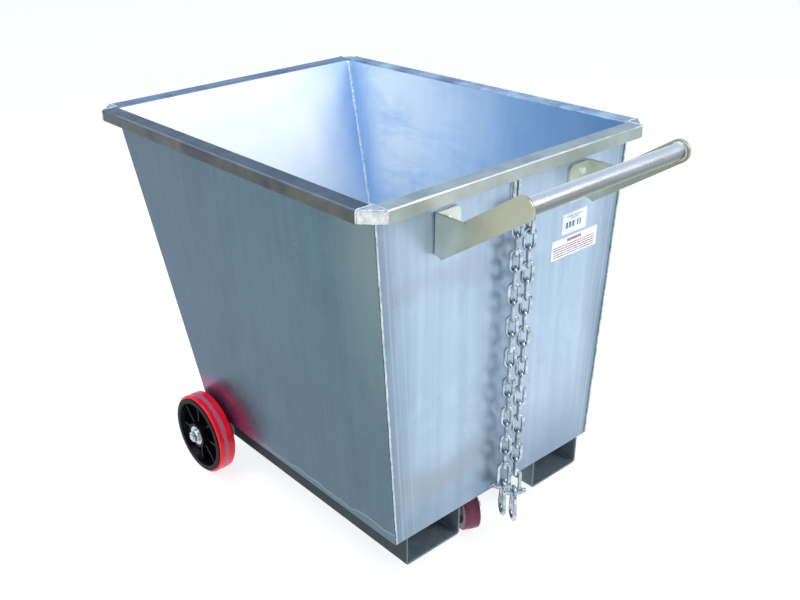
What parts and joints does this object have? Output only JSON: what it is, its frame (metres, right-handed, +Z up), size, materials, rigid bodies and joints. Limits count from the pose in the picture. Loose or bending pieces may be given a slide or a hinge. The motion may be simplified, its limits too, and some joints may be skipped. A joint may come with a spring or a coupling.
{
  "type": "wheeled waste bin",
  "caption": "Open-topped tapered sheet-steel waste bin on wheels with fork pockets, push handle and a hanging safety chain.",
  "frame": {"origin": "on the ground under the centre of the bounding box", "axes": "+Z up, the push handle is at -Y, the two fixed wheels are at the +Y end, +X is to the right seen from the handle"},
  "size_m": [0.766, 1.1464, 0.9054],
  "materials": {
    "wall_zinc": "bright zinc-plated sheet steel",
    "cap_zinc": "zinc-plated, ground weld edges",
    "weld_bead": "zinc-plated weld bead",
    "pocket_zinc": "zinc-plated plate, darker",
    "bracket_zinc": "yellow-green passivated zinc",
    "tube_steel": "bright zinc-plated tube",
    "fastener_zinc": "zinc-plated",
    "castor_zinc": "zinc-plated",
    "label_white": "printed film",
    "chain_zinc": "bright zinc-plated",
    "hook_zinc": "bright zinc-plated",
    "core_black": "moulded nylon or painted iron",
    "tread_red": "cast polyurethane",
    "bearing_steel": "steel",
    "castor_core_grey": "moulded nylon",
    "castor_tread_red": "cast polyurethane"
  },
  "bodies": {
    "bin": {"side_wall_left": "wall_zinc", "side_wall_right": "wall_zinc", "front_wall": "wall_zinc", "handle_end_wall": "wall_zinc", "floor_plate": "wall_zinc", "rim_corner_caps": "cap_zinc", "corner_welds_outside": "weld_bead", "corner_welds_inside": "weld_bead", "fork_pocket_left": "pocket_zinc", "fork_pocket_right": "pocket_zinc", "axle_stub_left": "fastener_zinc", "axle_stub_right": "fastener_zinc", "axle_washers": "fastener_zinc", "axle_nuts": "fastener_zinc", "castor_plate": "castor_zinc", "castor_bolts": "fastener_zinc", "castor_nuts": "fastener_zinc", "castor_fixed_race": "castor_zinc", "castor_kingpin": "fastener_zinc", "handle_bracket_left": "bracket_zinc", "handle_bracket_right": "bracket_zinc", "handle_tube": "tube_steel", "handle_tube_welds": "weld_bead", "bracket_bolts": "fastener_zinc", "bracket_nuts": "fastener_zinc", "capacity_label": "label_white", "notice_label": "label_white", "chain_staple": "chain_zinc"},
    "wheel_left": {"wheel_core_left": "core_black", "wheel_tread_left": "tread_red", "wheel_bearings_left": "bearing_steel"},
    "wheel_right": {"wheel_core_right": "core_black", "wheel_tread_right": "tread_red", "wheel_bearings_right": "bearing_steel"},
    "castor_swivel": {"castor_fork": "castor_zinc", "castor_axle_bolt": "fastener_zinc", "castor_axle_nut": "fastener_zinc"},
    "castor_wheel": {"castor_core": "castor_core_grey", "castor_tread": "castor_tread_red", "castor_bush": "bearing_steel"},
    "master_link": {"chain_master_link": "chain_zinc"},
    "strand_left_top": {"chain_left_top": "chain_zinc"},
    "strand_left_middle": {"chain_left_middle": "chain_zinc"},
    "strand_left_bottom": {"chain_left_bottom": "chain_zinc"},
    "shackle_left": {"shackle_left_bow": "chain_zinc", "shackle_left_pin": "chain_zinc"},
    "hook_left": {"hook_left_body": "hook_zinc", "hook_left_rivet": "hook_zinc"},
    "gate_left": {"hook_left_gate": "hook_zinc"},
    "strand_right_top": {"chain_right_top": "chain_zinc"},
    "strand_right_middle": {"chain_right_middle": "chain_zinc"},
    "strand_right_bottom": {"chain_right_bottom": "chain_zinc"},
    "shackle_right": {"shackle_right_bow": "chain_zinc", "shackle_right_pin": "chain_zinc"},
    "hook_right": {"hook_right_body": "hook_zinc", "hook_right_rivet": "hook_zinc"},
    "gate_right": {"hook_right_gate": "hook_zinc"}
  },
  "joints": [
    {"name": "wheel_left_spin", "type": "hinge", "parent": "bin", "child": "wheel_left", "pos_m": [-0.3375, 0.2992, 0.1], "axis": [1, 0, 0], "continuous": true},
    {"name": "wheel_right_spin", "type": "hinge", "parent": "bin", "child": "wheel_right", "pos_m": [0.3375, 0.2992, 0.1], "axis": [1, 0, 0], "continuous": true},
    {"name": "castor_swivel_turn", "type": "hinge", "parent": "bin", "child": "castor_swivel", "pos_m": [-0.009, -0.2508, 0.125], "axis": [0, 0, 1], "continuous": true},
    {"name": "castor_wheel_spin", "type": "hinge", "parent": "castor_swivel", "child": "castor_wheel", "pos_m": [-0.02506, -0.28524, 0.05], "axis": [0.9063, -0.4226, 0], "continuous": true},
    {"name": "master_link_swing", "type": "hinge", "parent": "bin", "child": "master_link", "pos_m": [0.00525, -0.3808, 0.78633], "axis": [-1, 0, 0], "range_deg": [0, 35]},
    {"name": "strand_left_top_swing", "type": "hinge", "parent": "master_link", "child": "strand_left_top", "pos_m": [-0.013, -0.3808, 0.76433], "axis": [-1, 0, 0], "range_deg": [0, 25]},
    {"name": "strand_left_middle_swing", "type": "hinge", "parent": "strand_left_top", "child": "strand_left_middle", "pos_m": [-0.013, -0.3808, 0.5585], "axis": [-1, 0, 0], "range_deg": [0, 12]},
    {"name": "strand_left_bottom_swing", "type": "hinge", "parent": "strand_left_middle", "child": "strand_left_bottom", "pos_m": [-0.013, -0.3808, 0.3485], "axis": [-1, 0, 0], "range_deg": [0, 12]},
    {"name": "shackle_left_swing", "type": "hinge", "parent": "strand_left_bottom", "child": "shackle_left", "pos_m": [-0.013, -0.3808, 0.2085], "axis": [-1, 0, 0], "range_deg": [0, 12]},
    {"name": "hook_left_swing", "type": "hinge", "parent": "shackle_left", "child": "hook_left", "pos_m": [-0.013, -0.3808, 0.15768], "axis": [-0.8192, 0.5736, 0], "range_deg": [0, 60]},
    {"name": "gate_left_open", "type": "hinge", "parent": "hook_left", "child": "gate_left", "pos_m": [-0.01915, -0.38958, 0.1526], "axis": [0.8192, -0.5736, 0], "range_deg": [0, 25], "stiffness_Nm_per_rad": 0.02, "springref_deg": -17.19},
    {"name": "strand_right_top_swing", "type": "hinge", "parent": "master_link", "child": "strand_right_top", "pos_m": [0.0235, -0.3808, 0.76433], "axis": [-1, 0, 0], "range_deg": [0, 25]},
    {"name": "strand_right_middle_swing", "type": "hinge", "parent": "strand_right_top", "child": "strand_right_middle", "pos_m": [0.0235, -0.3808, 0.5585], "axis": [-1, 0, 0], "range_deg": [0, 12]},
    {"name": "strand_right_bottom_swing", "type": "hinge", "parent": "strand_right_middle", "child": "strand_right_bottom", "pos_m": [0.0235, -0.3808, 0.3485], "axis": [-1, 0, 0], "range_deg": [0, 12]},
    {"name": "shackle_right_swing", "type": "hinge", "parent": "strand_right_bottom", "child": "shackle_right", "pos_m": [0.0235, -0.3808, 0.1735], "axis": [-1, 0, 0], "range_deg": [0, 12]},
    {"name": "hook_right_swing", "type": "hinge", "parent": "shackle_right", "child": "hook_right", "pos_m": [0.0235, -0.3808, 0.12268], "axis": [-0.8192, 0.5736, 0], "range_deg": [0, 60]},
    {"name": "gate_right_open", "type": "hinge", "parent": "hook_right", "child": "gate_right", "pos_m": [0.01735, -0.38958, 0.1176], "axis": [0.8192, -0.5736, 0], "range_deg": [0, 25], "stiffness_Nm_per_rad": 0.02, "springref_deg": -17.19}
  ]
}
